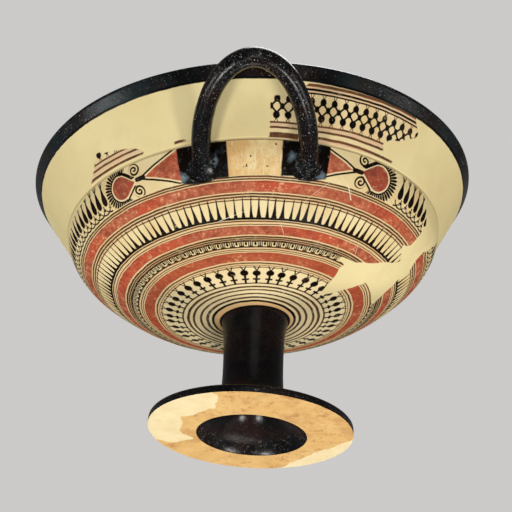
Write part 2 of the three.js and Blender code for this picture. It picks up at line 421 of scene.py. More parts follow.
me = cup.data
nv = len(me.vertices)
co = np.empty(nv * 3, np.float32)
me.vertices.foreach_get("co", co)
co = co.reshape(-1, 3).astype(float) * 1000
s_v, d_v, r_v, z_v, t_v = on_outside(co)
nf = len(me.polygons)
centre = np.empty(nf * 3, np.float32)
me.polygons.foreach_get("center", centre)
centre = centre.reshape(-1, 3).astype(float) * 1000
fs, fd, fr, fz, ft_ = on_outside(centre)
def from_handles(p):
    """Distance (mm) from the handles' skin."""
    best = np.full(len(p), 99.0)
    for line in HANDLE_LINES:
        line = line[wall_depth(line) > -1.8]             # the part that stands clear of the wall
        lo, hi = line.min(0) - 14, line.max(0) + 14
        w = np.where(((p > lo) & (p < hi)).all(1))[0]
        if len(w):
            d = np.linalg.norm(p[w][:, None] - line[None, ::2], axis=2).min(1) - 3.9
            best[w] = np.minimum(best[w], d)
    return best


outer_face = (fd < 0.5) & (fs > 0.8) & (fs < 107.1) & (fz > 50.4)
under_face = (centre[:, 2] < 0.04)
slot_of = np.where(outer_face, 0, np.where(under_face, 2, 1)).astype(np.int32)

# plaster: positive inside a fill
lip_fill = np.minimum(s_v - 83.1, 200.0)
for poly in LIP_PIECES:
    lip_fill = np.minimum(lip_fill, -turned_poly(t_v, s_v, poly))
fill = lip_fill
for poly in FILLS:
    fill = np.maximum(fill, turned_poly(t_v, s_v, poly))
# the foot's underside, in mm from its centre
fx_, fy_ = co[:, 0] - FOOT_AXIS[0], co[:, 1] - FOOT_AXIS[1]
UNDER_FILLS = [
    [(-13.9, -39.1), (-13.4, -25.1), (-28, -12), (-29.2, 5.9), (-23.9, 10.7), (-31.7, 17.9), (-46, 14), (-48, -8), (-40, -30), (-24, -44)],
    [(42.5, 0.8), (35.8, 10.1), (29.2, 17.3), (19.3, 31.5), (12.7, 40.3), (22, 46), (40, 32), (48, 8)],
]
under = np.full(nv, -50.0)
for poly in UNDER_FILLS:
    under = np.maximum(under, poly_depth(fx_, fy_, poly))
flat_v = co[:, 2] < 0.3
fill = np.where(flat_v, under, np.where(d_v < 0.9, fill, -20.0))


def put(name, values):
    a = me.attributes.new(name, "FLOAT", "POINT")
    a.data.foreach_set("value", np.asarray(values, np.float32))


put("arc", s_v)
put("fill", np.clip(fill, -20, 20))
put("root", np.clip(from_handles(co), -5, 30))


# ---------------------------------------------------------------- node writing
def srgb(r, g, b):
    def lin(c):
        c /= 255
        return c / 12.92 if c <= 0.04045 else ((c + 0.055) / 1.055) ** 2.4
    return (lin(r), lin(g), lin(b), 1.0)


class Tree:
    def __init__(self, name):
        self.mat = bpy.data.materials.new(name)
        self.mat.use_nodes = True
        self.t = self.mat.node_tree
        self.t.nodes.clear()
        self.out = self.t.nodes.new("ShaderNodeOutputMaterial")
        self.count = 0

    def node(self, kind, **props):
        n = self.t.nodes.new(kind)
        self.count += 1
        n.location = (220 * (self.count // 12), -160 * (self.count % 12))
        for k, v in props.items():
            setattr(n, k, v)
        return n

    def plug(self, sock, value):
        if isinstance(value, F):
            self.t.links.new(value.s, sock)
        elif isinstance(value, (tuple, list)) and sock.type != "RGBA":
            sock.default_value = tuple(value)[:len(sock.default_value)]
        else:
            sock.default_value = value

    def math(self, op, a, b=None, c=None, clamp=False):
        n = self.node("ShaderNodeMath", operation=op, use_clamp=clamp)
        for i, v in enumerate((a, b, c)):
            if v is not None:
                self.plug(n.inputs[i], v)
        return F(self, n.outputs[0])

    def attribute(self, name):
        n = self.node("ShaderNodeAttribute", attribute_name=name, attribute_type="GEOMETRY")
        return F(self, n.outputs["Fac"])

    def noise(self, vec, scale, detail=2.0, rough=0.5, distort=0.0, w=None):
        n = self.node("ShaderNodeTexNoise", noise_dimensions="3D")
        self.plug(n.inputs["Vector"], vec)
        n.inputs["Scale"].default_value = scale
        n.inputs["Detail"].default_value = detail
        n.inputs["Roughness"].default_value = rough
        n.inputs["Distortion"].default_value = distort
        return F(self, n.outputs[0])

    def white(self, value):
        n = self.node("ShaderNodeTexWhiteNoise", noise_dimensions="1D")
        self.plug(n.inputs["W"], value)
        return F(self, n.outputs["Value"])

    def mix(self, fac, a, b):
        n = self.node("ShaderNodeMix", data_type="RGBA", blend_type="MIX")
        self.plug(n.inputs["Factor"], fac)
        self.plug(n.inputs[6], a)
        self.plug(n.inputs[7], b)
        return F(self, n.outputs[2])

    def ramp(self, x, stops):
        """Piecewise straight y(x) through the stops."""
        x0, x1 = stops[0][0], stops[-1][0]
        top = max(abs(y) for _, y in stops) or 1
        n = self.node("ShaderNodeValToRGB")
        cr = n.color_ramp
        cr.interpolation = "LINEAR"
        while len(cr.elements) < len(stops):
            cr.elements.new(0.5)
        for e, (px, py) in zip(cr.elements, stops):
            pass
        for i, (px, py) in enumerate(stops):
            cr.elements[i].position = (px - x0) / (x1 - x0)
            y = py / top
            cr.elements[i].color = (y, y, y, 1)
        f = self.math("MULTIPLY_ADD", x, 1 / (x1 - x0), -x0 / (x1 - x0), clamp=True)
        self.plug(n.inputs[0], f)
        return F(self, n.outputs[0]) * top

    def vec(self, x, y, z):
        n = self.node("ShaderNodeCombineXYZ")
        for i, v in enumerate((x, y, z)):
            self.plug(n.inputs[i], v)
        return F(self, n.outputs[0])

    def dot(self, v, k):
        n = self.node("ShaderNodeVectorMath", operation="DOT_PRODUCT")
        self.plug(n.inputs[0], v)
        n.inputs[1].default_value = tuple(k)
        return F(self, n.outputs["Value"])


class F:
    def __init__(self, tree, s):
        self.tree, self.s = tree, s

    def _m(self, op, *a, **k):
        return self.tree.math(op, self, *a, **k)

    def __add__(self, o): return self._m("ADD", o)
    __radd__ = __add__
    def __mul__(self, o): return self._m("MULTIPLY", o)
    __rmul__ = __mul__
    def __sub__(self, o): return self._m("SUBTRACT", o)
    def __rsub__(self, o): return self.tree.math("SUBTRACT", o, self)
    def __truediv__(self, o): return self._m("DIVIDE", o)
    def __rtruediv__(self, o): return self.tree.math("DIVIDE", o, self)
    def __neg__(self): return self._m("MULTIPLY", -1.0)
    def abs(self): return self._m("ABSOLUTE")
    def floor(self): return self._m("FLOOR")
    def fract(self): return self._m("FRACT")
    def sqrt(self): return self._m("SQRT")
    def max(self, o): return self._m("MAXIMUM", o)
    def min(self, o): return self._m("MINIMUM", o)
    def gt(self, o): return self._m("GREATER_THAN", o)
    def lt(self, o): return self._m("LESS_THAN", o)
    def near(self, c, half): return self._m("COMPARE", c, half)

    def soft(self, width=0.2):
        """0..1 across the edge where the distance passes zero."""
        return self.tree.math("MULTIPLY_ADD", self, 1 / width, 0.5, clamp=True)

    def step(self, a, b):
        return self.tree.math("MULTIPLY_ADD", self, 1 / (b - a), -a / (b - a), clamp=True)

    def clamp(self):
        return self._m("ADD", 0.0, clamp=True)


# ---------------------------------------------------------------- painted outside
def painted_bowl():
    T = Tree("painted_clay")
    tc = T.node("ShaderNodeTexCoord")
    obj = F(T, tc.outputs["Object"])
    qx = T.dot(obj, U * 1000) - float(PIVOT @ U)
    qy = T.dot(obj, -V * 1000) - float(PIVOT @ -V)
    theta = T.math("ARCTAN2", qx, qy) * (180 / math.pi)
    r = (qx * qx + qy * qy).sqrt()
    arc0 = T.attribute("arc")
    slow = T.noise(obj, 45, 2)          # 20 mm
    mid = T.noise(obj, 260, 2)          # 4 mm
    fine = T.noise(obj, 1400, 3, 0.6)   # 0.7 mm
    hand = (slow - 0.5) * 1.1 + (mid - 0.5) * 0.42
    # brush lines sit a little off true, more so near the stem
    ecc = (qx / r) * ((36 - arc0).step(0, 12)) * 0.45
    settle = T.ramp(arc0, [(6, 1.1), (13, 1.1), (18, 0.9), (23, 0.75), (28, 0.45), (33, 0.3), (40, 0.25), (72, 0.25), (84, 0.12), (110, 0.12)])
    s = arc0 + hand + ecc + settle
    t = theta + (mid - 0.5) * 0.35

    def lines(*spec):
        out = None
        for c, w in spec:
            m = (w / 2 - (s - c).abs()).soft(0.22)
            out = m if out is None else out.max(m)
        return out

    def band(a, b, width=0.25):
        return (s - a).soft(width) * (b - s).soft(width)

    # ground: cream slip over clay
    blot = T.noise(obj, 75, 3, 0.55)
    blot2 = T.noise(obj, 20, 2, 0.5)
    slip = T.mix(blot.step(0.35, 0.68), srgb(*SLIP_A), srgb(*SLIP_B))
    slip = T.mix((blot2.step(0.45, 0.7) * 0.55), slip, srgb(*SLIP_C))
    # warmer ground between the thin lines
    warm = band(26.6, 30.1).max(band(34.3, 37.2)).max(band(40.6, 43.6)).max(band(47.5, 50.4)).max(band(58.6, 62.0)).max(band(66.4, 68.3))
    slip = T.mix(warm * 0.45, slip, srgb(*WARM))
    # paler, less yellow ground inward of the bands: partly the slip's own tone, partly painted light for the brightly
    # lit underside near the stem
    slip = T.mix((27.5 - s).step(0, 3) * 0.55, slip, srgb(*INNER))
    # the reserved ring round the stem: its own orange tone, made paler as painted light against the shade of the foot
    # and stem
    ring = (3.95 - s).soft(0.4)
    col = T.mix(ring, slip, srgb(*RING_C))
    panel_u = ((t + 1.0).abs() - 8.4)
    folded = ((theta / 180 + 0.5).fract() - 0.5) * 180     # angle from the nearer handle
    ft2 = folded + (mid - 0.5) * 0.5
    panel = ((8.2 - (ft2 + 1.2).abs()) * 1.3).soft(0.4) * band(68.6, 82.6)
    grain = T.noise(obj, 760, 4, 0.7)
    stain = T.noise(obj, 130, 4, 0.65)
    panel_col = T.mix((stain + (ft2 + 1.2) * 0.012 + (grain - 0.5) * 0.5).step(0.36, 0.62), srgb(*RESERVED), srgb(*PANEL_B))
    side_rub = ((ft2 + 1.2).abs() - 5.6).step(0, 2.4) * 0.6 + (72.0 - s).step(0, 4) * 0.35
    panel_col = T.mix((side_rub * (stain * 0.6 + grain * 0.4).step(0.38, 0.6)).clamp(), panel_col, srgb(*PANEL_EDGE))
    drips = T.noise(T.vec(theta * 1.1, arc0 * 0.10, 3.0), 1.0, 3, 0.6)
    panel_col = T.mix((drips - 0.60).soft(0.05) * 0.55, panel_col, srgb(*SLIP_C))
    panel_col = T.mix((grain - 0.64).soft(0.04) * 0.55, panel_col, srgb(*GRIME))
    panel_col = T.mix((T.noise(obj, 620, 1, 0.4) - 0.745).soft(0.02) * 0.9, panel_col, srgb(*BROWN_B))
    col = T.mix(panel, col, panel_col)

    # red bands
    red = band(29.75, 34.4).max(band(43.55, 47.55)).max(band(61.9, 66.4))
    red_rim = band(29.75, 30.3).max(band(33.9, 34.4)).max(band(43.55, 44.0)).max(band(47.0, 47.55)).max(band(61.9, 62.3)).max(band(65.8, 66.4))
    # ---- brown and black lines
    brown = lines((6.95, 1.2), (9.75, 1.0), (12.8, 1.0), (15.05, 1.1), (17.3, 0.75), (26.5, 0.42), (27.5, 0.28), (28.65, 0.66),
                  (35.1, 0.36), (36.05, 0.46), (37.35, 0.78), (40.55, 0.85), (41.5, 0.7), (42.5, 0.85), (48.2, 0.38), (49.5, 0.56),
                  (58.55, 0.5), (59.8, 0.75), (61.0, 0.75), (67.1, 0.6), (68.1, 0.72))
    dark = lines((4.55, 1.2), (50.6, 1.0))
    dark = dark.max((0.95 - arc0).soft(0.3))
    below68 = (69.6 - s).gt(0)

    # ---- rays
    k = 126
    a = t * (k / 360) + 0.5
    cell = a.floor()
    x = (a.fract() - 0.5) * r * (2 * math.pi / k)
    rnd = T.white(cell)
    x = x + (rnd - 0.5) * 0.5
    w = T.ramp(s, [(50.9, 1.1), (52.1, 0.76), (54.0, 0.52), (56.5, 0.32), (59.4, 0.22)]) * (0.75 + rnd * 0.5)
    dark = dark.max((w - x.abs()).soft(0.22) * band(51.0, 59.3, 0.1))

    # ---- framed dots
    k = 86
    a = (t + 1.2) * (k / 360) + 0.5
    x = (a.fract() - 0.5) * r * (2 * math.pi / k)
    ax = x.abs()
    in_band = band(37.5, 40.4, 0.15)
    dots = (0.9 - (x * x * 3.2 + (s - 39.1) * (s - 39.1)).sqrt()).soft(0.25)
    bars = (0.19 - (ax - 1.08).abs()).soft(0.15).max((0.17 - (ax - 1.70).abs()).soft(0.15))
    caps = s.near(40.2, 0.24) * (1.25 - ax).gt(0)
    caps = caps.max(s.near(37.85, 0.24) * (ax - 1.05).gt(0))
    dark = dark.max(in_band * dots.max(bars).max(caps))

    # ---- pomegranates
    k = 43
    jit = T.white((t * (k / 360) + 0.536).floor())
    a = (t + 0.3) * (k / 360) + 0.5
    x = (a.fract() - 0.5) * r * (2 * math.pi / k) + (jit - 0.5) * 0.6
    ax = x.abs()
    sy = s - 23.2 + (jit - 0.5) * 0.5
    ball = (1.68 - (x * x + sy * sy * 1.05).sqrt()).soft(0.3)
    stem = (0.48 - (x + (s - 20) * 0.06 * (jit - 0.5)).abs()).soft(0.2) * band(17.0, 22.2)
    bar_ = (0.5 - (s - 19.75 - x * x * 0.06).abs()).soft(0.2) * (1.5 - ax).soft(0.3)
    vee = (0.3 - (ax - (s - 24.6) * 0.5).abs()).soft(0.2) * band(24.7, 27.1)
    dark = dark.max(ball).max(stem).max(bar_).max(vee)

    # ---- bud frieze between the handles
    side = folded.gt(0)
    shift = 1.1 - side * 0.6
    k = 120
    a = (ft2 + shift) * (k / 360) + 0.5
    cell = a.floor()
    rnd = T.white(cell + 7)
    x = (a.fract() - 0.5) * r * (2 * math.pi / k)
    ax = (x + (rnd - 0.5) * 0.3).abs()
    frieze = (ft2 - 46.2).soft(0.3).max((-50.5 - ft2).soft(0.3))
    w = T.ramp(s, [(72.3, 0.0), (72.8, 1.1), (74.2, 1.62), (75.9, 1.36), (77.8, 0.78), (79.8, 0.4), (82.6, 0.24)])
    bud = (w - ax).soft(0.25) * band(72.3, 82.6, 0.1)
    vee = (0.25 - (ax - (s - 79.6) * 0.42).abs()).soft(0.2) * band(79.8, 82.6, 0.2)
    arcx = (a * 0.5).fract() * 2 - 1                       # one loop spans two buds
    arcy = (1 - arcx * arcx).max(0.0).sqrt()
    loop1 = (0.36 - (s - 73.0 + arcy * 3.7).abs()).soft(0.3)
    arcx = (a * 0.5 + 0.5).fract() * 2 - 1
    arcy = (1 - arcx * arcx).max(0.0).sqrt()
    loop2 = (0.36 - (s - 73.0 + arcy * 3.7).abs()).soft(0.3)
    xb = ((a + 0.5).fract() - 0.5) * r * (2 * math.pi / k)
    cross = (0.3 - xb.abs()).soft(0.2) * band(70.6, 73.0, 0.2)
    cross = cross.max((0.32 - (s - 71.4).abs()).soft(0.2) * (0.95 - xb.abs()).soft(0.2))
    fr = bud.max(vee).max(loop1 * band(69.0, 73.2, 0.1)).max(loop2 * band(69.0, 73.2, 0.1)).max(cross)
    dark = dark.max(fr * frieze * band(68.9, 82.7, 0.1))

    # ---- palmette and triangle beside each handle root
    zone = (1 - frieze) * band(68.8, 82.7, 0.1)
    sgn = side * 2 - 1
    cen = side * 81.5 - 44.0
    X = (cen - ft2) * sgn * r * (math.pi / 180)
    g = 1 / (1.0 + side * 0.13)
    Y = (s - 75.25 - side * 1.05)
    hx, hy = X * g, Y * g
    rho = (hx * hx + hy * hy).sqrt()
    disc = 4.55 - rho
    sa, ca = 4.55 / 7.9, math.sqrt(1 - (4.55 / 7.9) ** 2)
    wedge = ((7.9 - hx) * sa - hy.abs() * ca).min(hx - 2.2)
    heart = disc.max(wedge)
    red = red.max(zone * (heart + 0.0).soft(0.25))
    light = zone * (0.32 - (heart + 0.35).abs()).soft(0.15)
    ringl = (0.36 + (hy * 0.5 + 0.5).clamp() * (hx * 0.4 + 0.4).clamp() * 0.3 - (heart + 1.02).abs()).soft(0.2)
    ang = T.math("ARCTAN2", hy, hx)
    pa = ang * (40 / (2 * math.pi))
    pr = T.white(pa.floor() + 3)
    px_ = ((pa.fract() - 0.5).abs()) * rho * (2 * math.pi / 40)
    petal_w = T.ramp(heart * -1.0, [(1.2, 0.36), (1.7, 0.40), (2.8, 0.50), (3.9, 0.48), (4.75, 0.0)])
    petal = (petal_w - px_).soft(0.16) * (heart * -1.0 - 1.1).gt(0) * (ang.abs() - 1.05).gt(0)
    dz = ringl * (ang.abs() - 0.2).gt(0)
    dz = dz.max(petal)
    # spirals
    for sx, sy_, tw in ((8.7, 4.5, 1.0), (8.3, -4.2, -1.0)):
        ux, uy = X - sx, Y - sy_
        ur = (ux * ux + uy * uy).sqrt()
        ua = T.math("ARCTAN2", uy, ux) * (tw / (2 * math.pi))
        spin = ((ur / 1.55 - ua).fract() - 0.5).abs()
        dz = dz.max((0.27 - spin).soft(0.12) * (2.7 - ur).soft(0.2))
    # knot, outlines
    kx, ky = (X - 10.8) / 2.6, (Y - 0.4 + side * 0.8) / 0.92
    dz = dz.max((1.0 - (kx * kx * kx * kx + ky * ky * ky * ky)).soft(0.5))
    tri = (X - 13.3) * 0.375 - (Y - 0.3 + side * 0.9).abs() * 0.93
    tri_in = tri.min(30.5 - X)
    red = red.max(zone * tri_in.soft(0.25))
    light = light.max(zone * (0.3 - (tri + 0.35).abs()).soft(0.15) * (X - 12.4).gt(0))
    dz = dz.max((0.38 - (tri + 1.0).abs()).soft(0.2) * (X - 11).gt(0))
    dark = dark.max(dz * zone)

    # ---- black spread round the handle roots
    root = (ft2 + 16.2).abs() - 7.2
    root = root.min((ft2 - 13.3).abs() - 6.9) * 1.3
    bottom = T.ramp(folded, [(-24.5, 69.4), (-21.5, 67.5), (-18.5, 67.0), (-15, 67.1), (-12.5, 68.3), (6, 68.6), (10, 68.9), (12, 67.6), (15, 67.4), (17, 68.2), (20.5, 69.6)])
    black = (0 - root).soft(0.45) * (s - bottom).soft(0.5) * (82.6 - s).soft(0.3)
    black = black.max((0.4 - T.attribute("root") - (mid - 0.5) * 0.8).soft(0.4))

    # ---- lip
    lip = (s - 83.3).gt(0)
    climb = T.ramp(theta, [(-60, 0.35), (0, 0.0), (25, 0.85), (45, 1.55), (60, 1.55)]) - 0.85
    ls = s - climb * T.ramp(s, [(85.5, 0.2), (90, 1.0)])     # the bands climb a little to the right

    def stripes(*spec):
        out = None
        for c, w in spec:
            m = (w / 2 - (ls - c).abs()).soft(0.2)
            out = m if out is None else out.max(m)
        return out

    def level(a, b, width=0.15):
        return (ls - a).soft(width) * (b - ls).soft(width)

    k = 121
    leftside = (theta * -1.0).gt(0)
    a = (t - 16.3 - leftside * 1.25) * (k / 360) + 0.5
    x = (a.fract() - 0.5) * r * (2 * math.pi / k)
    half = math.pi / k
    jl = T.white(a.floor() + 31)
    ax = (x + (jl - 0.5) * 0.35).abs()
    hw = r * half
    xo = hw - x.abs()                                    # from the cell's edge
    def drop(cx, c, up, dn, wd):
        y = ls - c
        yy = T.math("DIVIDE", y, y.gt(0) * (up - dn) + dn)
        return (1 - ((cx / wd) * (cx / wd) + yy * yy)) * (wd / 2)
    buds = drop(ax, 99.35, 1.7, 1.3, 1.3).max(drop(xo, 96.5, 1.35, 1.25, 0.95)).max(drop(ax, 93.15, 1.5, 1.65, 1.42))
    net1 = (0.40 - (ax - hw * (99.2 - ls) / 2.7).abs() * 0.75).soft(0.2) * level(96.3, 99.3)
    net2 = (0.40 - (ax - hw * (ls - 93.8) / 2.7).abs() * 0.75).soft(0.2) * level(93.8, 96.7)
    top_v = (0.2 - (ax - (ls - 100.6) * 0.45).abs()).soft(0.2) * level(100.7, 102.5)
    low_v = (0.2 - (ax - (91.9 - ls) * 0.42).abs()).soft(0.2) * level(89.9, 91.9)
    lip_dark = stripes((102.5, 0.66), (103.9, 0.9)).max(buds.soft(0.25).max(net1).max(net2))
    low_wide = (1 - ((theta - 6.5).abs() - 4.2).gt(0)) * band(83.2, 85.4)
    lip_brown = stripes((85.05, 1.1), (87.75, 0.95), (89.95, 0.82), (105.65, 1.2)).max(top_v).max(low_v)
    lip_pink = level(88.3, 89.5).max(level(102.9, 103.5)).max(level(104.4, 105.1)).max(level(83.2, 84.5)).max(leftside * level(86.0, 87.2))
    col = T.mix(lip * (0.08 + lip_pink * 0.8), col, srgb(*LIP_PINK))
    dark = dark * (1 - lip)
    brown = brown * (1 - lip)
    dark = dark.max(lip_dark * lip)
    lip_brown = lip_brown.max(low_wide) * lip

    # ---- put the paint on, with its wear
    wear = T.noise(obj, 520, 4, 0.7)
    streak = T.noise(T.vec(theta * 0.30, arc0 * 1.5, 0.0), 1.0, 4, 0.65)
    wear2 = T.noise(obj, 120, 3, 0.6)
    red_tone = T.mix((wear2 * 0.6 + streak * 0.2 + mid * 0.2 + (wear - 0.5) * 0.7).step(0.36, 0.64), srgb(*RED_A), srgb(*RED_B))
    red_tone = T.mix(T.noise(obj, 38, 3, 0.55, 0.6).step(0.50, 0.60) * 0.75, red_tone, srgb(*RED_HOT))
    red_tone = T.mix((fine * 0.4 + wear * 0.4 + streak * 0.2).step(0.53, 0.64) * 0.7, red_tone, srgb(*RED_PALE))
    red_tone = T.mix((streak * 0.3 + wear2 * 0.4 + mid * 0.3 - 0.45).soft(0.08) * -0.5 + 0.5, red_tone, srgb(*RED_DEEP))
    thin = (wear * 0.6 + wear2 * 0.3 + streak * 0.1)
    red_tone = T.mix(red_rim * 0.35, red_tone, srgb(*RED_DEEP))
    red_tone = T.mix((36 - s).soft(0.5) * 0.55, red_tone, srgb(*RED_INNER))
    red_tone = T.mix(zone * disc.gt(-3) * (0.35 + (wear2 - 0.5) * 1.2).clamp(), red_tone, srgb(*CRIMSON))
    col = T.mix(red * (0.97 - (thin - 0.56).step(0, 0.12) * 0.6), col, red_tone)
    edge = (1 - red) * (red * 0)
    brown_tone = T.mix(wear2.step(0.38, 0.62), srgb(*BROWN_A), srgb(*BROWN_B))
    col = T.mix(brown * (0.97 - thin.step(0.54, 0.68) * 0.5), col, brown_tone)
    col = T.mix(lip_brown * (0.95 - thin.step(0.55, 0.7) * 0.4), col, T.mix(wear2.step(0.4, 0.6), srgb(*LIP_BROWN_A), srgb(*LIP_BROWN_B)))
    col = T.mix(light * 0.9, col, srgb(*LIGHT))
    dark_tone = T.mix(T.noise(obj, 90, 3, 0.6).step(0.46, 0.68) * 0.75, srgb(*BLACK), srgb(*BLACK_BROWN))
    col = T.mix(dark * (1.0 - thin.step(0.58, 0.68) * 0.45), col, dark_tone)
    col = T.mix(black, col, srgb(*BLACK))
    # painted sheen: bluish blotches and pale reflection patches on the black by the roots, then real specks
    sheen_blot = T.noise(obj, 230, 5, 0.72)
    col = T.mix(black * (sheen_blot.step(0.52, 0.70) * 0.55), col, srgb(*GLAZE_SHEEN))
    for bx, by in ((-23.3, 71.0), (-13.5, 75.5), (9.3, 76.5), (18.7, 70.3)):
        near_ = 1 - (((ft2 - bx) * 1.3) * ((ft2 - bx) * 1.3) + (s - by) * (s - by)).sqrt() * 0.36
        col = T.mix(black * ((near_ + (sheen_blot - 0.5) * 2.2).step(0.1, 0.9) * 0.6), col, srgb(*SHEEN_PALE))
    col = T.mix(black * (wear.step(0.62, 0.70) * 0.5), col, srgb(*SPECK))
    # the black rim band, with painted bluish sheen blotches on it
    rim = (s - 106.35).soft(0.4)
    col = T.mix(rim, col, T.mix(blot2.step(0.48, 0.66) * 0.35, srgb(*BLACK_RIM), srgb(*GLAZE_SHEEN)))
    # flakes where the slip is gone
    flake = (T.noise(obj, 210, 5, 0.75) - 0.69).soft(0.03) * (1 - rim)
    col = T.mix(flake * 0.75, col, srgb(*FLAKE))
    grime = T.noise(obj, 900, 4, 0.7).step(0.62, 0.75)
    col = T.mix(grime * 0.22 * (1 - rim), col, srgb(*GRIME))
    # mended breaks: hairlines of pale filler across the bands
    def crack(ta, sa, tb, sb, w, strength=1.0):
        slope = (tb - ta) / (sb - sa)
        mm = math.pi / 180 / math.hypot(1, slope * 0.9)
        off = (theta - ((arc0 - sa) * slope + ta) + (mid - 0.5) * 0.8).abs() * r * mm
        return (off * -1 + w).soft(0.14) * (arc0 - min(sa, sb)).soft(0.3) * (max(sa, sb) - arc0).soft(0.3) * strength

    cracks = crack(24.4, 72.2, 27.5, 69.4, 0.2, 0.7).max(crack(27.5, 69.4, 30.7, 63.8, 0.24))
    cracks = cracks.max(crack(21.6, 68.4, 16.6, 61.4, 0.14, 0.6)).max(crack(16.6, 61.4, 14.8, 57.6, 0.12, 0.6))
    cracks = cracks.max(crack(8.4, 48.2, 10.2, 43.8, 0.14, 0.6)).max(crack(43.0, 48.2, 45.3, 43.8, 0.14, 0.6))
    cracks = cracks.max(crack(-14.6, 50.2, -9.0, 52.0, 0.22, 0.8)).max(crack(-9.0, 52.0, -4.5, 53.6, 0.14, 0.6))
    col = T.mix(cracks * 0.85, col, srgb(*CRACK))
    # the plaster
    fill = T.attribute("fill") + (mid - 0.5) * 0.5
    plaster = fill.soft(0.3) * (1 - rim)
    pl_tone = T.mix(blot2.step(0.35, 0.65), srgb(*PLASTER_A), srgb(*PLASTER_B))
    pl_tone = T.mix(blot.step(0.5, 0.75) * 0.3, pl_tone, srgb(*PLASTER_C))
    col = T.mix(plaster, col, pl_tone)
    # painted shade along the groove under the lip
    groove_shade = (0.5 - (arc0 - 82.85).abs()).soft(0.5)
    col = T.mix(groove_shade * 0.45, col, srgb(*GROOVE_SHADE_C))

    bsdf = T.node("ShaderNodeBsdfPrincipled")
    T.plug(bsdf.inputs["Base Color"], col)
    gloss = dark.max(black).max(rim) * (1 - plaster)
    rough = 0.58 - gloss * 0.22 - rim * 0.06 + (wear2 - 0.5) * 0.12
    T.plug(bsdf.inputs["Roughness"], rough)
    bsdf.inputs["Specular IOR Level"].default_value = 0.06
    height = (fine * 0.35 + wear * 0.5 + mid * 0.5) * 0.00007 + (gloss * 0.00004) + (plaster * -0.00005)
    bump = T.node("ShaderNodeBump")
    bump.inputs["Strength"].default_value = 0.55
    bump.inputs["Distance"].default_value = 1.0
    T.plug(bump.inputs["Height"], height)
    T.t.links.new(bump.outputs[0], bsdf.inputs["Normal"])
    T.t.links.new(bsdf.outputs[0], T.out.inputs[0])
    print("painted nodes", len(T.t.nodes))
    return T.mat


def black_glaze():
    T = Tree("black_glaze")
    tc = T.node("ShaderNodeTexCoord")
    obj = F(T, tc.outputs["Object"])
    n1 = T.noise(obj, 60, 3, 0.55)
    n2 = T.noise(obj, 420, 4, 0.7)
    n3 = T.noise(obj, 1500, 3, 0.6)
    col = T.mix(n1.step(0.45, 0.7) * 0.45, srgb(*BLACK_RIM), srgb(*BLACK_BROWN))
    z = T.dot(obj, (0, 0, 1000))
    stem = (z - 4).soft(2) * (52 - z).soft(2)
    purple = T.noise(obj, 110, 3, 0.6).step(0.45, 0.65)
    col = T.mix(stem * purple * 0.7, col, srgb(*STEM_TONE))
    patch = T.noise(obj, 55, 2, 0.5).step(0.40, 0.62)
    spots = (T.noise(obj, 620, 5, 0.8) - 0.625).soft(0.035) * patch
    spots = spots * (1 - stem * 0.8)
    col = T.mix(spots * 0.42, col, srgb(*SPECK))
    scr = (T.noise(obj, 1500, 3, 0.6) - 0.66).soft(0.03) * (patch * 0.7 + 0.3) * (1 - stem * 0.85)
    col = T.mix(scr * 0.6, col, srgb(*SPECK))
    high = (1.2 - T.attribute("root")).soft(1.0)
    nick = (T.noise(obj, 980, 4, 0.75) - 0.655).soft(0.025) * high
    col = T.mix(nick * 0.8, col, srgb(*SPECK_PALE))
    # painted sheen: faint bluish blotches over the glaze
    sheen_haze = T.noise(obj, 150, 4, 0.65).step(0.5, 0.75)
    col = T.mix(sheen_haze * 0.14, col, srgb(*GLAZE_SHEEN))
    # painted sheen: bluish blotches on the glazed rim, away from the handles
    edge = (T.attribute("arc") - 106.5).soft(1) * (z - 60).soft(2) * (1 - high)
    col = T.mix(edge * T.noise(obj, 24, 2, 0.5).step(0.46, 0.64) * 0.16, col, srgb(*GLAZE_SHEEN))
    bsdf = T.node("ShaderNodeBsdfPrincipled")
    T.plug(bsdf.inputs["Base Color"], col)
    T.plug(bsdf.inputs["Roughness"], 0.12 + n2 * 0.2 + spots * 0.25)
    bsdf.inputs["Specular IOR Level"].default_value = 0.22
    bump = T.node("ShaderNodeBump")
    bump.inputs["Strength"].default_value = 0.6
    bump.inputs["Distance"].default_value = 1.0
    T.plug(bump.inputs["Height"], (n2 * 0.9 + n3 * 0.3 + n1 * 2.4) * 0.00015 - spots * 0.00005)
    T.t.links.new(bump.outputs[0], bsdf.inputs["Normal"])
    T.t.links.new(bsdf.outputs[0], T.out.inputs[0])
    return T.mat


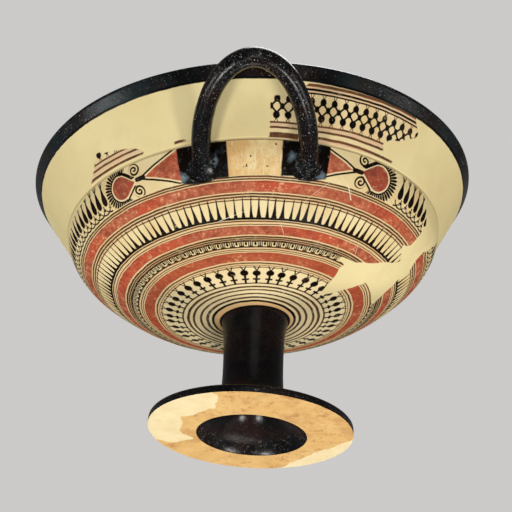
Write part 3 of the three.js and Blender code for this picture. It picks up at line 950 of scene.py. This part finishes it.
def foot_clay():
    T = Tree("foot_clay")
    tc = T.node("ShaderNodeTexCoord")
    obj = F(T, tc.outputs["Object"])
    n1 = T.noise(obj, 90, 4, 0.65)
    n2 = T.noise(obj, 350, 4, 0.7)
    n3 = T.noise(obj, 1300, 3, 0.6)
    col = T.mix(n1.step(0.35, 0.68), srgb(*FOOT_A), srgb(*FOOT_B))
    col = T.mix((T.noise(obj, 160, 5, 0.75) - 0.585).soft(0.08) * 0.75, col, srgb(*FOOT_C))
    col = T.mix((n2 - 0.645).soft(0.05) * 0.6, col, srgb(*FOOT_D))
    col = T.mix((T.noise(obj, 60, 3, 0.6) - 0.56).soft(0.12) * 0.45, col, srgb(*FOOT_C))
    col = T.mix((n3 - 0.62).soft(0.05) * 0.35, col, srgb(*FOOT_D))
    fill = T.attribute("fill") + (n2 - 0.5) * 0.9 + (T.noise(obj, 150, 2, 0.5) - 0.5) * 6.0
    plaster = fill.soft(0.35)
    col = T.mix(plaster * 0.96, col, T.mix(n1.step(0.4, 0.6), srgb(*FOOT_FILL_A), srgb(*FOOT_FILL_B)))
    bsdf = T.node("ShaderNodeBsdfPrincipled")
    T.plug(bsdf.inputs["Base Color"], col)
    T.plug(bsdf.inputs["Roughness"], 0.62 + (n2 - 0.5) * 0.2)
    bsdf.inputs["Specular IOR Level"].default_value = 0.35
    bump = T.node("ShaderNodeBump")
    bump.inputs["Strength"].default_value = 0.6
    bump.inputs["Distance"].default_value = 1.0
    T.plug(bump.inputs["Height"], (n2 * 0.6 + n3 * 0.4 + n1) * 0.00012)
    T.t.links.new(bump.outputs[0], bsdf.inputs["Normal"])
    T.t.links.new(bsdf.outputs[0], T.out.inputs[0])
    return T.mat


# colours, as the eye sees them
SLIP_A, SLIP_B, SLIP_C = (238, 218, 166), (226, 198, 142), (242, 226, 184)
WARM, RESERVED, PANEL_B = (220, 174, 126), (224, 182, 120), (240, 216, 160)
CRACK = (240, 226, 196)
# both made paler partly as painted light near the stem
INNER, RING_C = (246, 228, 182), (238, 194, 136)
RED_A, RED_B, RED_HOT, RED_PALE = (152, 66, 46), (194, 106, 74), (190, 70, 42), (222, 162, 120)
RED_DEEP, CRIMSON, PANEL_EDGE, RED_INNER = (128, 50, 40), (122, 38, 42), (204, 140, 86), (170, 68, 36)
BROWN_A, BROWN_B = (92, 50, 18), (48, 27, 12)
LIP_BROWN_A, LIP_BROWN_B = (112, 58, 24), (70, 34, 16)
BLACK, BLACK_BROWN, BLACK_RIM = (12, 7, 5), (50, 26, 12), (8, 8, 10)
LIGHT, FLAKE, GRIME = (236, 214, 168), (234, 212, 168), (150, 112, 70)
# the first two tones are painted sheen on the black glaze; the specks are real
GLAZE_SHEEN, SHEEN_PALE, SPECK, SPECK_PALE = (58, 74, 78), (140, 160, 172), (170, 170, 162), (208, 208, 200)
LIP_PINK = (224, 188, 150)
PLASTER_A, PLASTER_B, PLASTER_C = (238, 221, 166), (228, 209, 153), (214, 193, 140)
# colour of the painted shade in the groove under the lip
GROOVE_SHADE_C = (150, 136, 100)
STEM_TONE = (33, 18, 20)
FOOT_A, FOOT_B, FOOT_C, FOOT_D = (232, 192, 124), (220, 172, 102), (186, 130, 78), (136, 90, 56)
FOOT_FILL_A, FOOT_FILL_B = (246, 228, 180), (238, 216, 166)

me.materials.clear()
for maker in (painted_bowl, black_glaze, foot_clay):
    me.materials.append(maker())
me.polygons.foreach_set("material_index", slot_of)
me.update()


# ---------------------------------------------------------------- one flat map of the whole surface
starts = np.empty(nf, np.int32)
me.polygons.foreach_get("loop_start", starts)
totals = np.empty(nf, np.int32)
me.polygons.foreach_get("loop_total", totals)
lv = np.empty(len(me.loops), np.int32)
me.loops.foreach_get("vertex_index", lv)
lf = np.repeat(np.arange(nf), totals)
cfx, cfy = centre[:, 0] - FOOT_AXIS[0], centre[:, 1] - FOOT_AXIS[1]
lift = np.maximum(0, (centre[:, 2] - 10) / 45.25) * 1.5
cfr = np.hypot(cfx + lift, cfy)
skin = np.interp(centre[:, 2], [0, 3.4, 5.2, 7.3, 9.6, 12.4, 16.5, 23, 51], [42.5, 41.6, 34, 26, 19, 15, 13.4, 12.9, 14])
cls = np.full(nf, 1)                                               # inside of the bowl
cls[(centre[:, 2] < 52.6) & (cfr < 43.2) & (fr < 45)] = 3            # foot and stem
cls[(centre[:, 2] < 40.5) & (cfr < np.minimum(skin - 1.3, 24.5)) & ~((centre[:, 2] < 6) & (cfr > 23.6))] = 4
cls[(from_handles(centre) < 2.2) & (fr > 60) & (fd > 0.3)] = 5        # handles
cls[under_face] = 2
cls[outer_face] = 0
P = co[lv]
C = cls[lf]
uv = np.zeros((len(lv), 2))


def disc(which, cx, cy, rad, ang):
    m = C == which
    uv[m, 0] = cx + (rad * np.sin(ang))[m]
    uv[m, 1] = cy - (rad * np.cos(ang))[m]


ta = np.radians(t_v)[lv]
disc(0, 0.425, 0.575, (s_v[lv] + 14.4) * (0.42 / 127.8), ta)
disc(1, 0.925, 0.925, np.clip(r_v + (z_v - 57) * 0.8, 0, 150)[lv] * (0.07 / 145), ta)
pfx, pfy = P[:, 0] - FOOT_AXIS[0], P[:, 1] - FOOT_AXIS[1]
disc(2, 0.925, 0.775, np.hypot(pfx, pfy) * (0.07 / 42.6), np.arctan2(pfx, -pfy))
px_ = pfx + np.maximum(0, (P[:, 2] - 10) / 45.25) * 1.5
pr_ = np.hypot(px_, pfy)
disc(3, 0.925, 0.62, 0.07 * (1 - np.clip((42.5 - pr_) + P[:, 2], 0, 82) / 82 * 0.85), np.arctan2(px_, -pfy))
hk = 1 - np.clip(P[:, 2] / 14, 0, 1)
hx_, hy_ = px_ - 0.6 * hk, pfy - 3.65 * hk
disc(4, 0.925, 0.465, 0.07 * (1 - np.clip((23.1 - np.hypot(hx_, hy_)) + P[:, 2], 0, 64) / 64), np.arctan2(hx_, -hy_))
for which, line in enumerate(HANDLE_LINES):
    m = np.where((C == 5) & ((P[:, 1] > 0) == bool(which)))[0]
    if not len(m):
        continue
    q = P[m]
    near_i = np.concatenate([np.linalg.norm(b[:, None] - line[None], axis=2).argmin(1)
                             for b in np.array_split(q, max(1, len(q) // 4000))])
    tg = np.gradient(line, axis=0)
    tg /= np.linalg.norm(tg, axis=1)[:, None]
    pl = np.cross(line[len(line) // 2] - line[0], line[-1] - line[0])
    pl /= np.linalg.norm(pl)
    bn = np.cross(tg, pl)
    d = q - line[near_i]
    an = np.arctan2((d * bn[near_i]).sum(1), (d * pl).sum(1)) / (2 * math.pi) + 0.5
    fid = lf[m]
    first = {}
    ref = np.zeros(len(m))
    _, inv = np.unique(fid, return_inverse=True)
    top_ = np.full(inv.max() + 1, -9.0)
    np.maximum.at(top_, inv, an)
    low_ = np.full(inv.max() + 1, 9.0)
    np.minimum.at(low_, inv, an)
    split = (top_ - low_ > 0.5)[inv]
    an = np.where(split & (an < 0.5), an + 1, an)
    along_ = near_i / (len(line) - 1)
    uv[m, 0] = 0.02 + 0.41 * which + along_ * 0.38
    uv[m, 1] = 0.012 + np.clip(an, 0, 1.12) * 0.075
layer = me.uv_layers.new(name="OFBake", do_init=False)
layer.data.foreach_set("uv", uv.astype(np.float32).ravel())
me.uv_layers.active = layer
for p in cup.data.polygons:
    p.use_smooth = True
cup.data.set_sharp_from_angle(angle=math.radians(38))

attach(cup, "root")
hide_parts("kylix")

# ---------------------------------------------------------------- camera
cam_data = bpy.data.cameras.new("camera")
cam = bpy.data.objects.new("camera", cam_data)
bpy.context.scene.collection.objects.link(cam)
cam_data.sensor_width = 36
cam_data.sensor_fit = "HORIZONTAL"
cam_data.lens = 1300 / 512 * 36
cam_data.clip_start, cam_data.clip_end = 0.01, 20
right = Vector((0.99782635, -0.02797194, 0.05966699))
down = Vector((0.06573951, 0.48533653, -0.87185249))
ahead = Vector((-0.00457116, 0.87387987, 0.48612044))
place = Vector((0.00602183, -0.50504690, -0.19725858))
cam.matrix_world = Matrix((
    (right.x, -down.x, -ahead.x, place.x),
    (right.y, -down.y, -ahead.y, place.y),
    (right.z, -down.z, -ahead.z, place.z),
    (0, 0, 0, 1)))
bpy.context.scene.camera = cam

# ---------------------------------------------------------------- floor, world, lights
fme = bpy.data.meshes.new("floor")
R = 3.0
fme.from_pydata([(-R, -R, -0.0006), (R, -R, -0.0006), (R, R, -0.0006), (-R, R, -0.0006)], [], [(0, 1, 2, 3)])
floor = bpy.data.objects.new("floor", fme)
bpy.context.scene.collection.objects.link(floor)
fm = bpy.data.materials.new("pale_floor")
fm.use_nodes = True
ft = fm.node_tree
ft.nodes.clear()
fo = ft.nodes.new("ShaderNodeOutputMaterial")
fb = ft.nodes.new("ShaderNodeBsdfDiffuse")
fb.inputs["Color"].default_value = (0.36, 0.355, 0.345, 1)
fe = ft.nodes.new("ShaderNodeEmission")                # keeps the paper pale out to the horizon
fe.inputs["Color"].default_value = (0.80, 0.79, 0.775, 1)
fe.inputs["Strength"].default_value = 0.55
fa = ft.nodes.new("ShaderNodeAddShader")
ft.links.new(fb.outputs[0], fa.inputs[0])
ft.links.new(fe.outputs[0], fa.inputs[1])
fc = ft.nodes.new("ShaderNodeBsdfTransparent")
fg = ft.nodes.new("ShaderNodeNewGeometry")
fx = ft.nodes.new("ShaderNodeMixShader")
ft.links.new(fg.outputs["Backfacing"], fx.inputs[0])
ft.links.new(fa.outputs[0], fx.inputs[1])
ft.links.new(fc.outputs[0], fx.inputs[2])
ft.links.new(fx.outputs[0], fo.inputs[0])
fme.materials.append(fm)
floor.visible_shadow = False
floor.visible_diffuse = False
floor.visible_glossy = False
floor.visible_transmission = False

world = bpy.data.worlds.new("studio")
bpy.context.scene.world = world
world.use_nodes = True
wt = world.node_tree
back = wt.nodes["Background"]
back.inputs[0].default_value = (0.80, 0.79, 0.775, 1)
path = wt.nodes.new("ShaderNodeLightPath")
level = wt.nodes.new("ShaderNodeMapRange")          # the backdrop is paler than the room's fill light
level.inputs["To Min"].default_value = 0.17
level.inputs["To Max"].default_value = 0.75
wt.links.new(path.outputs["Is Camera Ray"], level.inputs["Value"])
wt.links.new(level.outputs["Result"], back.inputs[1])


def area(name, at, aim, size, power, colour=(1, 1, 1)):
    d = bpy.data.lights.new(name, "AREA")
    d.shape = "DISK"
    d.size = size
    d.energy = power
    d.color = colour
    o = bpy.data.objects.new(name, d)
    bpy.context.scene.collection.objects.link(o)
    o.location = at
    o.rotation_euler = (Vector(aim) - Vector(at)).to_track_quat("-Z", "Y").to_euler()
    return o


area("key", (-0.50, -0.50, -1.10), (0, 0, 0.06), 0.26, 8.0, (1.0, 0.98, 0.95))
area("second", (0.60, -0.40, -1.00), (0, 0, 0.06), 0.26, 6.8, (1.0, 0.98, 0.95))
area("front", (0.05, -1.3, 0.35), (0, 0, 0.07), 0.8, 1.0)
area("left", (-1.15, -0.32, -0.36), (0, 0, 0.07), 0.44, 3.0, (0.93, 0.98, 1.0))
area("under", (0.15, 0.60, -1.05), (0, 0, 0.06), 0.4, 2.2, (1.0, 0.98, 0.95))
area("low", (0.05, -1.15, -0.50), (0, 0, 0.05), 0.5, 1.6, (1.0, 0.98, 0.95))
area("right", (1.25, -0.30, -0.30), (0, 0, 0.07), 0.5, 3.0, (1.0, 0.98, 0.96))
area("top", (0.2, 0.25, 1.1), (0, 0, 0.06), 0.8, 9.0)
rear = area("rear", (-0.3, 1.1, 0.5), (0, 0, 0.06), 0.8, 6.0)
rear.visible_glossy = False
bpy.context.scene.view_settings.view_transform = "Standard"
